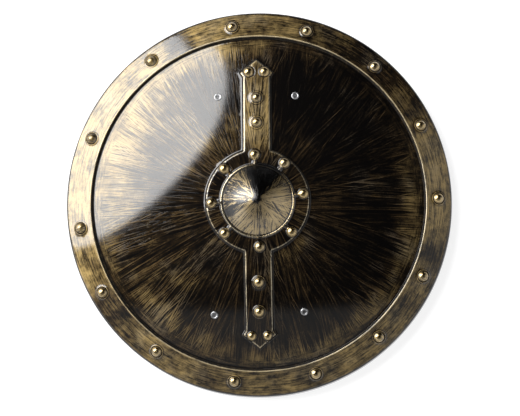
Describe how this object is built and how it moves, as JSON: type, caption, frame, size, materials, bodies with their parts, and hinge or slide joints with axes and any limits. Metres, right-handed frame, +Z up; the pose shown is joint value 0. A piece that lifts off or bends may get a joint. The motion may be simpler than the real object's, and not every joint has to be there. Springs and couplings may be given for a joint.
{
  "type": "costume shield",
  "caption": "Round domed shield pressed from one thin plastic sheet, with a raised rim, studs, an arrow-ended band and a conical boss, and two webbing straps across its hollow back.",
  "frame": {"origin": "centre of the skirt's cut edge, which the shield lies on face up", "axes": "+Z up through the boss, +Y along the medallion's upper arm, +X to the right as the face is seen from above"},
  "size_m": [0.49, 0.49, 0.086],
  "materials": {
    "antique_gilt_sheet": "gloss black plastic dry-brushed with antique gold",
    "rivet_metal": "plain silver",
    "strap_webbing": "black woven webbing"
  },
  "bodies": {
    "root": {"shield_shell": "antique_gilt_sheet", "rivet_upper_left": "rivet_metal", "rivet_upper_right": "rivet_metal", "rivet_lower_left": "rivet_metal", "rivet_lower_right": "rivet_metal", "strap_upper": "strap_webbing", "strap_lower": "strap_webbing"}
  },
  "joints": []
}
